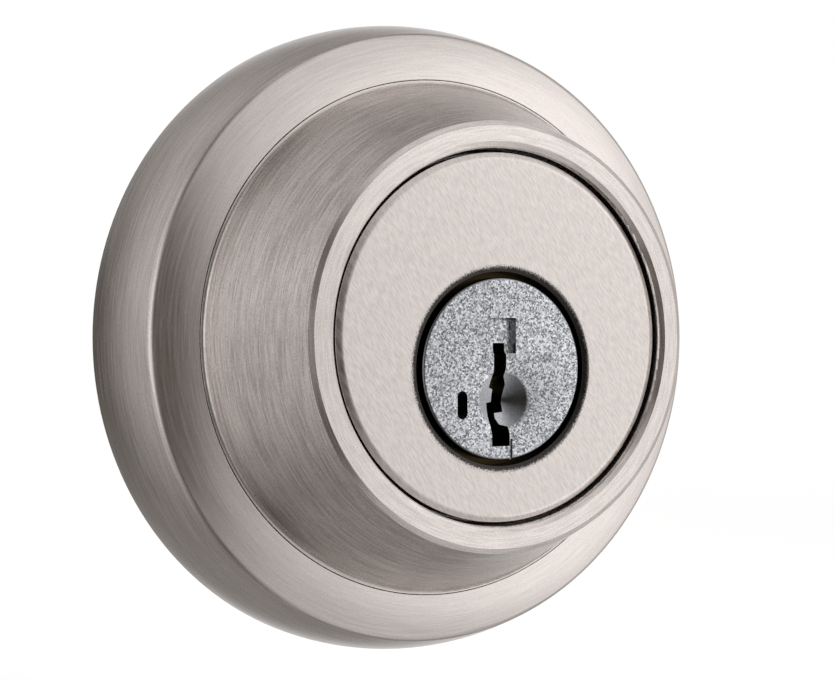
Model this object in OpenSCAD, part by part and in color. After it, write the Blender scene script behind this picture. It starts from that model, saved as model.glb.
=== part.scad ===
// Deadbolt door lock, outside (keyed) half: a round rose, a free turning tapered collar,
// a face plate, a cast chassis with two screw posts, and a rekeyable cylinder of racks and
// a locking bar. Millimetres. The origin is the centre of the rose on the door face, the
// lock points along -Y, and +Z is up. The cylinder and the door's bore share one axis,
// a little below the middle of the rose.

/* [Rose] */
// Diameter of the rose at the door
rose_d = 66.7; // [62:0.1:90]
// Height of the rose's shoulder off the door
shoulder_h = 10.7; // [9.5:0.01:13]
// How much narrower the shoulder is than the foot, on the radius
shoulder_inset = 2.1; // [0.5:0.1:3]
// Height about which the rose's wall bends from upright to leaning in
wall_bend_h = 5; // [3:0.1:5.2]
// Rounding of the shoulder
shoulder_round = 0.9; // [0.3:0.1:1.2]
// Width of the rose's front, from its shoulder to the collar
rose_front_w = 4.8; // [4:0.1:7]
// Rise of that front from the shoulder to the collar
rose_front_rise = 1; // [0.4:0.01:3]
// How far the front bulges above a straight line at its middle
rose_crown = 0.2; // [0.1:0.01:0.25]
// Thickness of the rose's front
rose_front_t = 2.7; // [2:0.1:3.5]
// Thickness of the rose's wall
rose_wall = 2.1; // [1.8:0.1:3]

/* [Collar] */
// How much narrower the cone's small end is than its base, on the radius
cone_inset = 5.44; // [4:0.01:6.6]
// Height of the cone's small end off the door
cone_top_h = 24.3; // [22:0.1:34]
// Width of the bevel between the cone and the lip
lip_bevel = 0.51; // [0.2:0.01:1]
// Height of that bevel
lip_bevel_h = 0.26; // [0.1:0.01:0.8]
// Width of the lip, from that bevel to the collar's bore
lip_w = 2.15; // [1.8:0.01:2.6]
// Width of the shallow bevel inside the lip
lip_inner_bevel = 0.65; // [0.3:0.05:0.7]
// Depth of that bevel
lip_inner_bevel_h = 0.3; // [0.2:0.05:0.6]
// Width of the small flare at the cone's foot
cone_flare = 0.35; // [0.3:0.05:0.5]
// Thickness of the collar's foot flange
collar_foot_t = 2.5; // [1.5:0.1:2.6]
// Thickness of the collar's shell and of its inner sleeve
collar_wall = 2; // [1.5:0.1:2.4]

/* [Face plate] */
// Depth of the plate's face below the lip
plate_sink = 0.55; // [0:0.01:1]
// Thickness of the plate
plate_t = 2.2; // [1.6:0.1:3]
// Width of the shallow bevel round the plate's rim and round its hole
plate_edge_w = 0.6; // [0.3:0.05:0.7]
// Depth of that bevel
plate_edge_h = 0.22; // [0.1:0.01:0.4]
// Gap between the plate and the collar
plate_gap = 0.35; // [0.2:0.05:0.6]
// Gap between the plate's hole and the plug
plug_gap = 0.55; // [0.2:0.05:0.6]

/* [Plug] */
// Drop of the cylinder's axis below the rose's axis
plug_drop = 3.06; // [2:0.01:4]
// Diameter of the plug behind its face
plug_d = 16.6; // [16.6:0.1:18]
// How much wider the plug's face flange is, on the radius
plug_flange_w = 0.55; // [0.4:0.05:0.7]
// Thickness of the wall of the cylinder round the plug
body_wall = 2.5; // [2.2:0.05:2.5]
// How far the plug's face stands out of the plate
plug_proud = 0; // [0:0.05:0.4]
// Running clearance of everything that turns or slides, on the radius
run = 0.05; // [0.03:0.01:0.08]

/* [Key mechanism] */
// Spacing of the pins
pin_pitch = 3.81; // [3.6:0.01:4.4]
// Radius of a pin
pin_r = 1.45; // [1.4:0.01:1.5]
// Pitch of the teeth on pins and racks, which is one step of the key
tooth_pitch = 0.6; // [0.56:0.01:0.64]
// Steps that the key lifts each pin, from the front
key_steps = [2, 4, 1, 3, 2];
// Greatest lift of a pin
pin_travel = 3; // [2:0.1:3]
// Travel of the carrier when the rekeying tool pushes it
carrier_travel = 1.9; // [1.8:0.05:2]
// Travel of the locking bar
bar_travel = 0.6; // [0.3:0.05:0.6]
// Diameter of the wire in the small springs
wire_d = 0.25; // [0.2:0.05:0.3]

/* [Door side] */
// Diameter of the bore in the door that the adapter ring fills
door_bore_d = 54; // [54:0.1:56]
// Diameter of the chassis hub, for doors with a small bore
hub_d = 37.8; // [37.8:0.1:40]
// Distance between the two screw posts
post_spacing = 28.6; // [28.6:0.1:30]
// Reach of the hub behind the door face
hub_reach = 6; // [5:0.5:12]
// Diameter of a screw post
post_d = 6.6; // [5.6:0.1:6.6]
// Reach of the posts behind the door face
post_reach = 18; // [14:0.5:24]
// Diameter of the threaded holes in the posts
post_hole_d = 3.46; // [3:0.01:4]
// Depth of the threaded holes
post_hole_l = 14; // [10:0.5:15]
// Width of the torque blade
blade_w = 6.2; // [5:0.1:6.4]
// Thickness of the torque blade
blade_t = 2; // [1.6:0.1:2.2]
// Reach of the torque blade behind the door face
blade_reach = 55; // [40:1:80]
// Thickness of the gasket on the door face
gasket_t = 1.2; // [0.8:0.1:1.6]

/* [Hidden] */
$fn = 96;
pins = 5;
eps = 0.01;

// Levels, measured out from the door face
opening_h = shoulder_h + rose_front_rise;
lip_z = cone_top_h + lip_bevel_h;
plate_z = lip_z - plate_sink;
seat_z = plate_z - plate_t;
plug_z = plate_z + plug_proud;
plug_neck_z = seat_z + run;
rose_under_z = opening_h - rose_front_t;
wall_lean = atan(shoulder_inset / (shoulder_h - wall_bend_h));
foot_round = 0.3;
wall_bend_r = (wall_bend_h - 2 * foot_round) / tan(wall_lean / 2);
crown_bend = atan((rose_front_rise + 2 * rose_crown) / rose_front_w)
    - atan((rose_front_rise - 2 * rose_crown) / rose_front_w);
crown_r = 0.35 * rose_front_w / tan(crown_bend / 2);
collar_foot_top = rose_under_z - run;
collar_foot_z = collar_foot_top - collar_foot_t;
washer_h = 1.2;
chassis_step_z = collar_foot_z - washer_h - run;
hub_z = -hub_reach;

// Radii
rose_r = rose_d / 2;
shoulder_r = rose_r - shoulder_inset;
opening_r = shoulder_r - rose_front_w;
collar_base_r = opening_r - run;
collar_top_r = collar_base_r - cone_inset;
lip_r = collar_top_r - lip_bevel;
collar_bore_r = lip_r - lip_w;
neck_r = collar_bore_r - run;
rose_inner_r = shoulder_r - rose_wall;
flange_r = rose_inner_r + 1;
plate_r = collar_bore_r - plate_gap;
plug_r = plug_d / 2;
plug_face_r = plug_r + plug_flange_w;
plate_hole_r = plug_face_r + plug_gap;
body_bore_r = plug_r + run;
body_r = body_bore_r + body_wall;
pocket_r = body_r + run;
hub_r = hub_d / 2;
gasket_w = 2.2;
gasket_r = flange_r - gasket_w - 0.2;
key_rib_w = 3;
key_rib_h = 1.2;

// The key mechanism, seen from the front with the plug's axis at zero
pin_x = -0.75;
flat_x = pin_x - pin_r + 0.3;
pin_front_z = plug_neck_z - 4.15;
pin_low = -3.2;
pin_tip_r = 0.5;
cap_t = 0.75;
pin_high = plug_r - run - cap_t - pin_travel - 10 * run;
pin_groove_r = pin_r - 0.25;
pin_bore_r = 1;
pin_floor = -0.4;
channel_r = pin_r + run;
groove_first = -1.9;
groove_w = 0.6 * tooth_pitch;
grooves = floor((pin_high - groove_first - groove_w) / tooth_pitch) + 1;
tooth_w = groove_w - 3 * run;
tooth_tip_x = pin_x - pin_groove_r - run;
carrier_x = pin_x - pin_r - 3 * run;
rack_front_x = carrier_x + 2 * run;
rack_back_x = carrier_x - 1.25;
rack_t = 1.8;
rack_half = 4.2;
carrier_z0 = pin_z(pins) - 1.86;
carrier_z1 = pin_z(1) + 1.5;
carrier_r = plug_r - run;
cap_end = 1.9;
spring_r = 0.85;
pin_spring_top = plug_r - run - cap_t - 7 * run;
bar_half = 1;
ridge_y = 0.5;
ridge_w = 0.35;
bar_z0 = carrier_z0 + 0.9;
bar_z1 = carrier_z1 - 0.6;
cavity_z0 = carrier_z0 - carrier_travel - 2 * run;
key_end_z = pin_z(pins) - channel_r - 1.2;

// The drive at the back of the plug
boss_r = 6.5;
boss_z = hub_z - 4.2;
clip_t = 0.75;
clip_groove_r = 5.7;
clip_z = hub_z - 0.9;
clip_outer_r = body_bore_r + 1.15;
post_fillet = 0.4;
clip_half = post_spacing / 2 - post_d / 2 - post_fillet - 2 * run;
drive_r = 5.05;
drive_floor_z = hub_z - 1.7;
tang_r = drive_r - 3 * run;
cap_hole_r = sqrt(pow(blade_w, 2) + pow(blade_t, 2)) / 2 + 2 * run;

// What holds the face plate, and what holds the cylinder
peg_r = 1.2;
peg_l = 2.6;
peg_ring_r = neck_r - 3;
peg_angles = [10, 90, 170];
screw_r = 1.2;
screw_l = 6;
screw_head_r = 2.2;
screw_head_h = 1.2;
ear_r = 2.7;
ear_ring_r = pocket_r + screw_r + 2;
ear_angles = [52, 128];
retainer_t = 0.8;
retainer_rim = 1.2;
retainer_z = hub_z - retainer_t;

function pin_z(i) = pin_front_z - (i - 1) * pin_pitch;
function unit(v) = v / norm(v);
function xy(p) = [p[0], p[1]];
function turn_of(a, b, c) = cross(b - a, c - b);

// Where a corner of radius r leaves the two edges that meet at b, and its centre
function setback(a, b, c, r) = r / tan(acos(unit(a - b) * unit(c - b)) / 2);
function arc_ends(a, b, c, r) = [b + unit(a - b) * setback(a, b, c, r),
    b + unit(c - b) * setback(a, b, c, r)];
function arc_centre(a, b, c, r) = b + unit(unit(a - b) + unit(c - b))
    * norm([setback(a, b, c, r), r]);

// What lies between the arc of radius r at the corner b and that arc's chord
module arc_cap(a, b, c, r) intersection() {
    polygon([arc_ends(a, b, c, r)[0], b, arc_ends(a, b, c, r)[1]]);
    translate(arc_centre(a, b, c, r)) circle(r);
}

// An outline, counter-clockwise, whose corners [x, y, radius] are true arcs
module rounded(p) {
    n = len(p);
    function at(i) = xy(p[(i + n) % n]);
    function bend(i) = turn_of(at(i - 1), at(i), at(i + 1));
    difference() {
        union() {
            polygon([for (i = [0:n - 1])
                each p[i][2] > 0 ? arc_ends(at(i - 1), at(i), at(i + 1), p[i][2]) : [at(i)]]);
            for (i = [0:n - 1]) if (p[i][2] > 0 && bend(i) > 0)
                arc_cap(at(i - 1), at(i), at(i + 1), p[i][2]);
        }
        for (i = [0:n - 1]) if (p[i][2] > 0 && bend(i) < 0)
            arc_cap(at(i - 1), at(i), at(i + 1), p[i][2]);
    }
}

// Local axes: x to the right and y up as seen from outside, z out of the door
module on_rose_axis() rotate([90, 0, 0]) children();
module on_plug_axis() rotate([90, 0, 0]) translate([0, -plug_drop, 0]) children();
module upright(x, z) translate([x, 0, z]) rotate([-90, 0, 0]) children();
module disc(r, z0, z1) translate([0, 0, z0]) cylinder(r = r, h = z1 - z0);
module block(x0, x1, y0, y1, z0, z1) translate([x0, y0, z0])
    cube([x1 - x0, y1 - y0, z1 - z0]);

// A wire coil along z from 0 to h: one tube swept along a helix
module coil(r, h, turns) {
    sides = 6;
    steps = 12 * turns;
    w = wire_d / 2;
    rise = (h - wire_d) / steps;
    function ring(i) = let (a = 30 * i) [for (j = [0:sides - 1]) let (b = 360 * j / sides)
        [(r - w + w * cos(b)) * cos(a), (r - w + w * cos(b)) * sin(a), w + i * rise + w * sin(b)]];
    function patch(i, j) = let (a = i * sides + j, b = i * sides + (j + 1) % sides)
        [[a, b + sides, b], [a, a + sides, b + sides]];
    polyhedron([for (i = [0:steps]) each ring(i)],
        concat([[for (j = [0:sides - 1]) j]],
            [for (i = [0:steps - 1], j = [0:sides - 1]) each patch(i, j)],
            [[for (j = [sides - 1:-1:0]) steps * sides + j]]),
        convexity = 10);
}

// ---------------------------------------------------------------- trim on the door

module rose() color("silver") on_rose_axis() rotate_extrude() rounded([
    [rose_r, 0, foot_round],
    [rose_r, wall_bend_h, wall_bend_r],
    [shoulder_r, shoulder_h, shoulder_round],
    [shoulder_r - rose_front_w / 2, shoulder_h + rose_front_rise / 2 + rose_crown, crown_r],
    [opening_r, opening_h, 0.08],
    [opening_r, rose_under_z, 0],
    [rose_inner_r, rose_under_z, 0.5],
    [rose_inner_r, chassis_step_z, 0],
    [flange_r + run, chassis_step_z, 0],
    [flange_r + run, 0, 0]]);

module collar() color("silver") on_rose_axis() difference() {
    rotate_extrude() rounded([
        [collar_bore_r, collar_foot_z, 0],
        [rose_inner_r - 0.3, collar_foot_z, 0.3],
        [rose_inner_r - 0.3, collar_foot_top, 0.3],
        [collar_base_r, collar_foot_top, 0],
        [collar_base_r, opening_h, 0.05],
        [collar_base_r - cone_flare, opening_h + 0.06, 0.4],
        [collar_top_r, cone_top_h, 0],
        [lip_r, lip_z, 0.1],
        [collar_bore_r + lip_inner_bevel, lip_z, 0],
        [collar_bore_r, lip_z - lip_inner_bevel_h, 0.3]]);
    // the casting is cored out from behind, between its shell and its sleeve
    rotate_extrude() polygon([
        [collar_bore_r + collar_wall, collar_foot_z - eps],
        [collar_base_r - collar_wall, collar_foot_z - eps],
        [collar_base_r - collar_wall, opening_h],
        [collar_bore_r + collar_wall + 0.4, cone_top_h - 5],
        [collar_bore_r + collar_wall, cone_top_h - 5]]);
}

module face_plate() color("gainsboro") on_rose_axis() {
    difference() {
        rotate_extrude() rounded([[0, seat_z, 0], [plate_r, seat_z, 0],
            [plate_r, plate_z - plate_edge_h, 0.1],
            [plate_r - plate_edge_w, plate_z, 0.8], [0, plate_z, 0]]);
        translate([0, -plug_drop, 0]) rotate_extrude() rounded([
            [0, seat_z - 1, 0], [plate_hole_r, seat_z - 1, 0],
            [plate_hole_r, plate_z - plate_edge_h, 0.1],
            [plate_hole_r + plate_edge_w, plate_z, 0.8],
            [plate_hole_r + plate_edge_w + 0.5, plate_z + 0.03, 0],
            [plate_hole_r, plate_z + 1, 0], [0, plate_z + 1, 0]]);
    }
    for (a = peg_angles) rotate(a) translate([peg_ring_r, 0, 0])
        disc(peg_r, seat_z - peg_l, seat_z + eps);
}

// ---------------------------------------------------------------- chassis and door side

module chassis() color("darkgray") on_rose_axis() difference() {
    union() {
        rotate_extrude() rounded([
            [0, gasket_t, 0],
            [flange_r, gasket_t, 0.4],
            [flange_r, chassis_step_z, 0.3],
            [neck_r, chassis_step_z, 0.6],
            [neck_r, seat_z, 0.3],
            [0, seat_z, 0]]);
        translate([0, -plug_drop, 0]) {
            disc(hub_r, hub_z, gasket_t + 1);
            for (s = [-1, 1]) translate([s * post_spacing / 2, 0, 0]) rotate_extrude() rounded([
                [0, -post_reach, 0], [post_d / 2, -post_reach, 0.5],
                [post_d / 2, hub_z, post_fillet], [post_d / 2 + 1.2 * post_fillet, hub_z, 0],
                [post_d / 2 + 1.2 * post_fillet, hub_z + 1, 0], [0, hub_z + 1, 0]]);
        }
    }
    translate([0, -plug_drop, 0]) {
        disc(pocket_r, hub_z - eps, seat_z + eps);
        block(-key_rib_w / 2 - run, key_rib_w / 2 + run, 0, pocket_r + key_rib_h,
            hub_z - eps, seat_z + eps);
        for (s = [-1, 1]) translate([s * post_spacing / 2, 0, 0])
            disc(post_hole_d / 2, -post_reach - eps, post_hole_l - post_reach);
        for (a = ear_angles) rotate(a) translate([ear_ring_r, 0, 0])
            disc(screw_r + run, hub_z - eps, retainer_z + screw_l + 1);
    }
    for (a = peg_angles) rotate(a) translate([peg_ring_r, 0, 0])
        disc(peg_r + run, seat_z - peg_l - 0.2, seat_z + eps);
    // a kidney shaped core above the cylinder keeps the casting's walls even
    rotate([0, 0, 58]) rotate_extrude(angle = 64) translate([11.3, hub_z - eps])
        square([2.4, seat_z - hub_z - 4]);
    // shallow pockets in the flange's back, between the hub and the gasket
    for (a = [-30:60:210]) if (a != 90) rotate(a - 14) rotate_extrude(angle = 28)
        translate([hub_r + plug_drop + 1, gasket_t - eps])
            square([gasket_r - 0.5 - (hub_r + plug_drop + 1), 1.6]);
}

module door_gasket() color("dimgray") on_rose_axis() rotate_extrude()
    translate([gasket_r, 0]) square([gasket_w, gasket_t]);

module adapter_ring() color("black") on_plug_axis() {
    sleeve_r = hub_r + run;
    band_r = door_bore_d / 2 - 0.15;
    depth = 4.5;
    web_t = 1.5;
    rotate_extrude() rounded([
        [sleeve_r, -depth, 0], [sleeve_r + 1.4, -depth, 0.3],
        [sleeve_r + 1.4, -web_t - 0.1, 0.3], [band_r - 1.4, -web_t - 0.1, 0.3],
        [band_r - 1.4, -depth, 0], [band_r, -depth, 0.5], [band_r, -0.1, 0.2],
        [sleeve_r + 1.4, -0.1, 0], [sleeve_r + 1.4, gasket_t, 0], [sleeve_r, gasket_t, 0]]);
    for (a = [0:30:330]) rotate(a) block(sleeve_r + 1.2, band_r - 1.2, -0.5, 0.5,
        -depth + 0.5, -web_t);
}

// A three wave spring washer that pushes the collar forward against the rose
module wave_washer() {
    r0 = collar_base_r - collar_wall + 0.2;
    r1 = rose_inner_r - 0.6;
    t = 0.35;
    steps = 72;
    function level(i) = chassis_step_z + (washer_h - t) / 2 * (1 - cos(3 * 360 * i / steps));
    function ring(i) = let (a = 360 * i / steps, z = level(i)) [
        [r0 * cos(a), r0 * sin(a), z], [r1 * cos(a), r1 * sin(a), z],
        [r1 * cos(a), r1 * sin(a), z + t], [r0 * cos(a), r0 * sin(a), z + t]];
    function face(i, j) = let (k = (i + 1) % steps, m = (j + 1) % 4)
        [4 * i + j, 4 * i + m, 4 * k + m, 4 * k + j];
    color("silver") on_rose_axis() polyhedron([for (i = [0:steps - 1]) each ring(i)],
        [for (i = [0:steps - 1], j = [0:3]) face(i, j)], convexity = 6);
}

// An arc that holds the cylinder in from behind, cut short of the two posts
module cylinder_retainer() color("slategray") on_plug_axis() difference() {
    union() {
        disc(pocket_r + retainer_rim, retainer_z, hub_z);
        for (a = ear_angles) rotate(a) {
            translate([ear_ring_r, 0, 0]) disc(ear_r, retainer_z, hub_z);
            block(body_r, ear_ring_r, -ear_r, ear_r, retainer_z, hub_z);
        }
    }
    disc(clip_outer_r + 2 * run, retainer_z - 1, hub_z + 1);
    for (a = ear_angles) rotate(a) translate([ear_ring_r, 0, 0])
        disc(screw_r + run, retainer_z - 1, hub_z + 1);
    block(-pocket_r - retainer_rim, pocket_r + retainer_rim, -pocket_r - retainer_rim,
        post_d / 2 + post_fillet + 2 * run, retainer_z - 1, hub_z + 1);
}

module retainer_screws() color("silver") on_plug_axis() for (a = ear_angles) rotate(a)
    translate([ear_ring_r, 0, 0]) difference() {
        rotate_extrude() rounded([
            [0, retainer_z - screw_head_h, 0],
            [screw_head_r - 0.7, retainer_z - screw_head_h, 0.5],
            [screw_head_r, retainer_z, 0],
            [screw_r, retainer_z, 0],
            [screw_r, retainer_z + screw_l, 0.4],
            [0, retainer_z + screw_l + 0.6, 0]]);
        for (b = [0, 90]) rotate(b) block(-1.1, 1.1, -0.25, 0.25,
            retainer_z - screw_head_h - 1, retainer_z - screw_head_h + 0.7);
    }

// ---------------------------------------------------------------- cylinder

module cylinder_body() color("goldenrod") on_plug_axis() difference() {
    union() {
        disc(body_r, hub_z, seat_z);
        block(-key_rib_w / 2, key_rib_w / 2, body_bore_r + 1, body_r + key_rib_h, hub_z,
            seat_z - 2);
    }
    disc(body_bore_r, hub_z - eps, seat_z + eps);
    // the home groove of the locking bar, and the one it drops into a quarter turn away
    for (a = [180, 270]) rotate(a) bar_groove();
}

// A V groove along the bore, a little deeper and longer than the bar that enters it
module bar_groove() {
    depth = bar_travel + 0.25;
    translate([0, 0, cavity_z0]) linear_extrude(bar_z1 + 1 - cavity_z0) polygon([
        [body_bore_r + depth, 0.1], [body_bore_r - 0.2, depth + 0.3],
        [body_bore_r - 0.2, -depth - 0.3], [body_bore_r + depth, -0.1]]);
}

// The keyway's outline, from its top left corner clockwise, with its two wards
module keyway() polygon([
    [-1.1, 2.5], [0.2, 2.5], [0.2, 1.7], [0.4, 1.4], [0.4, 0.2], [0.2, -0.7], [0.5, -1.5],
    [0.3, -3.3], [0.3, -4.2], [-0.7, -4.3], [-0.7, -4.8], [-0.3, -5.4], [0.6, -5.6],
    [0.8, -6.4], [0.8, -7.5], [-1.2, -7.5], [-1.2, -6.4], [-1.6, -4.6], [-1.65, -3.3],
    [-1, -3.2], [-0.9, -2], [-1.4, -1.8], [-1, -0.1], [-1, 1.4], [-1.1, 1.8]]);

module plug() color("lightsteelblue") on_plug_axis() difference() {
    union() {
        rotate_extrude() rounded([[0, plug_neck_z, 0], [plug_face_r, plug_neck_z, 0],
            [plug_face_r, plug_z, 0.3], [0, plug_z, 0]]);
        disc(plug_r, hub_z, plug_neck_z + eps);
        disc(boss_r, boss_z, hub_z + eps);
    }
    // keyway, with the scoop that leads the key in and the recess round its top
    translate([0, 0, key_end_z]) linear_extrude(plug_z + 1 - key_end_z) keyway();
    scoop_r = 2.95;
    scoop_t = 1;
    scoop_ball = (pow(scoop_r, 2) + pow(scoop_t, 2)) / (2 * scoop_t);
    translate([0.1, -3.05, plug_z - scoop_t + scoop_ball]) sphere(scoop_ball);
    block(-1.7, 1.5, 1.5, 4.95, plug_z - 0.8, plug_z + 1);
    block(0.85, 1.1, -plug_face_r - 1, -6.8, plug_z - 0.3, plug_z + 1);
    // slot for the rekeying tool, down to the carrier
    translate([-4.5, -3.45, carrier_z1 - eps]) linear_extrude(plug_z) {
        square([1.1, 1.6], center = true);
        for (s = [-1, 1]) translate([0, s * 0.8]) circle(0.55);
    }
    // the flat and the space that the carrier fills
    block(-plug_r - 1, flat_x, -plug_r - 1, plug_r + 1, cavity_z0, carrier_z1 + run);
    // pin channels, and the step for the cap that closes them
    for (i = [1:pins]) upright(pin_x, pin_z(i)) disc(channel_r, pin_low - run, plug_r + 1);
    pin_cap_space(run);
    // pockets for the hardened balls
    for (b = ball_places) ball_pocket(b);
    // clip groove and the window in which the blade has its lost motion
    difference() {
        disc(boss_r + 1, clip_z - run, clip_z + clip_t + run);
        disc(clip_groove_r, clip_z - 1, clip_z + clip_t + 1);
    }
    difference() {
        disc(drive_r, boss_z - eps, drive_floor_z);
        drive_stops();
    }
}

// Two stops between which the blade's tang turns a quarter turn
module drive_stops() {
    gap = blade_t / 2 + run;
    for (s = [0, 180]) rotate(s) block(gap, drive_r + 1, gap, drive_r + 1,
        boss_z - 1, drive_floor_z + 1);
}

// The strip of tube over the pin channels, grown by a clearance
module pin_cap_space(grow) intersection() {
    difference() {
        disc(plug_r + 1, pin_z(pins) - cap_end - grow, pin_z(1) + cap_end + grow);
        disc(plug_r - run - cap_t - grow, hub_z, plug_z);
    }
    block(flat_x - 1, pin_x + pin_r + 0.85 + grow, 0, plug_r + 1, hub_z, plug_z);
}

module pin_cap() color("silver") on_plug_axis() intersection() {
    pin_cap_space(0);
    disc(carrier_r, hub_z, plug_z);
    block(flat_x + run, plug_r, 0, plug_r, hub_z, plug_z);
}

// A pin with rings of teeth, a blunt tip, and a bore that takes its spring
module pin(i) color("gold") on_plug_axis() upright(pin_x, pin_z(i)) {
    difference() {
        rotate_extrude() polygon([[0, pin_low], [pin_tip_r, pin_low],
            [pin_r, pin_low + pin_r - pin_tip_r], [pin_r, pin_high], [pin_bore_r, pin_high],
            [pin_bore_r, pin_floor], [0, pin_floor]]);
        for (k = [0:grooves - 1]) difference() {
            disc(pin_r + 1, groove_y(k) - groove_w / 2, groove_y(k) + groove_w / 2);
            disc(pin_groove_r, pin_low, pin_high);
        }
    }
}

function groove_y(k) = groove_first + k * tooth_pitch;

module pin_spring(i) color("silver") on_plug_axis()
    upright(pin_x, pin_z(i)) translate([0, 0, pin_floor])
        coil(spring_r, pin_spring_top - pin_floor, 6);

module rack_groove(y, half, depth, z0, z1) block(rack_back_x - 1, rack_back_x + depth,
    y - half, y + half, z0 - 1, z1 + 1);

// A rack: teeth that follow its pin, and on its back the grooves for the locking bar
module rack(i) color("khaki") on_plug_axis() {
    lift = key_steps[i - 1] * tooth_pitch;
    z0 = pin_z(i) - rack_t / 2;
    z1 = pin_z(i) + rack_t / 2;
    difference() {
        union() {
            block(rack_back_x, rack_front_x, -rack_half - lift, rack_half - lift, z0, z1);
            for (k = [0:grooves - 1]) if (abs(groove_y(k) + lift) < rack_half - tooth_pitch)
                block(rack_front_x - eps, tooth_tip_x, groove_y(k) - tooth_w / 2,
                    groove_y(k) + tooth_w / 2, z0, z1);
        }
        // two true grooves for the bar's ridges, and shallow false ones beyond them
        for (y = [-ridge_y, ridge_y]) rack_groove(y - lift, ridge_w / 2 + 2 * run, 0.4, z0, z1);
        for (k = [2, 3.2], s = [-1, 1]) rack_groove(s * k - lift, ridge_w / 2 + run, 0.15, z0, z1);
    }
}

// The carrier completes the round of the plug and holds the racks and the locking bar
module carrier() color("burlywood") on_plug_axis() difference() {
    intersection() {
        disc(carrier_r, carrier_z0, carrier_z1);
        block(-plug_r, carrier_x, -plug_r, plug_r, carrier_z0, carrier_z1);
    }
    for (i = [1:pins]) block(rack_back_x - run, 0, -plug_r, plug_r,
        pin_z(i) - rack_t / 2 - run, pin_z(i) + rack_t / 2 + run);
    block(-plug_r - 1, rack_back_x - run, -bar_half - run, bar_half + run,
        bar_z0 - run, bar_z1 + run);
    translate(return_spring) disc(1, -1, return_spring_depth);
    catch_space(run);
}

return_spring = [-5.2, 4.1, carrier_z0];
return_spring_depth = 6;

module carrier_spring() color("silver") on_plug_axis()
    translate([return_spring[0], return_spring[1], cavity_z0])
        coil(0.85, return_spring_depth, 6);

module catch_space(grow) intersection() {
    difference() {
        disc(plug_r + grow, carrier_z0 + 2 - grow, carrier_z0 + 9 + grow);
        disc(carrier_r - 0.5 - grow, carrier_z0, carrier_z1);
    }
    rotate(215 - grow * 4) linear_extrude(plug_z) polygon([[0, 0], [20, 0],
        20 * [cos(26 + grow * 8), sin(26 + grow * 8)]]);
}

module spring_catch() color("silver") on_plug_axis() intersection() {
    catch_space(0);
    disc(carrier_r, 0, plug_z);
}

// The locking bar: a wedge that enters the body's groove, and two ridges that enter the racks
module locking_bar() color("goldenrod") on_plug_axis() difference() {
    tip_x = -carrier_r;
    ridge_x = rack_back_x - 3 * run;
    union() {
        translate([0, 0, bar_z0]) linear_extrude(bar_z1 - bar_z0) polygon([
            [tip_x, 0.1], [tip_x + bar_half - 0.1, bar_half], [ridge_x - 0.8, bar_half],
            [ridge_x - 0.8, -bar_half], [tip_x + bar_half - 0.1, -bar_half], [tip_x, -0.1]]);
        for (s = [-1, 1]) block(ridge_x - 0.9, ridge_x, s * ridge_y - ridge_w / 2,
            s * ridge_y + ridge_w / 2, bar_z0, bar_z1);
    }
    for (k = bar_spring_gaps) translate([ridge_x - 2.3, 0, bar_spring_z(k)]) rotate([0, 90, 0])
        cylinder(r = 0.8, h = 4);
}

// The bar's springs stand on the carrier between two racks
bar_spring_gaps = [1, 4];
function bar_spring_z(k) = (pin_z(k) + pin_z(k + 1)) / 2;

module bar_springs() color("silver") on_plug_axis() for (k = bar_spring_gaps)
    translate([rack_back_x - run, 0, bar_spring_z(k)]) rotate([0, -90, 0]) coil(0.7, 2.3, 3);

// Hardened balls in cross drilled pockets in front of the first pin
ball_r = 1;
ball_places = [20, 62, 300];

module ball_pocket(a) rotate(a) translate([plug_r - 3.2, 0, plug_neck_z - 1.4])
    rotate([0, 90, 0]) cylinder(r = ball_r + run, h = 6);

module drill_balls() color("dimgray") on_plug_axis() for (a = ball_places) rotate(a)
    translate([plug_r - 3.2 + ball_r, 0, plug_neck_z - 1.4]) sphere(ball_r);

module plug_clip() color("silver") on_plug_axis() difference() {
    intersection() {
        disc(clip_outer_r, clip_z, clip_z + clip_t);
        block(-clip_half, clip_half, -plug_r * 2, plug_r * 2, clip_z, clip_z + clip_t);
    }
    disc(clip_groove_r + run, clip_z - 1, clip_z + clip_t + 1);
    block(-clip_groove_r + 0.7, clip_groove_r - 0.7, -plug_r * 2, 0, clip_z - 1, clip_z + clip_t + 1);
}

// The torque blade: a flat bar with a cross tang that the plug's stops push, and a
// tip with its corners cut, so that it finds the slot in the latch
module torque_blade() color("silver") on_plug_axis() {
    tip = blade_t / 2;
    intersection() {
        disc(tang_r, boss_z + run, drive_floor_z - run);
        block(-tang_r, tang_r, -blade_t / 2, blade_t / 2, boss_z, drive_floor_z);
    }
    translate([0, blade_t / 2, 0]) rotate([90, 0, 0]) linear_extrude(blade_t) polygon([
        [tip - blade_w / 2, -blade_reach], [blade_w / 2 - tip, -blade_reach],
        [blade_w / 2, tip - blade_reach], [blade_w / 2, boss_z + 1],
        [-blade_w / 2, boss_z + 1], [-blade_w / 2, tip - blade_reach]]);
}

module blade_cap() color("slategray") on_plug_axis() difference() {
    rotate_extrude() rounded([[0, boss_z - 0.9, 0], [boss_r, boss_z - 0.9, 0.3],
        [boss_r, boss_z, 0], [0, boss_z, 0]]);
    disc(cap_hole_r, boss_z - 1, boss_z + 1);
}

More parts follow.
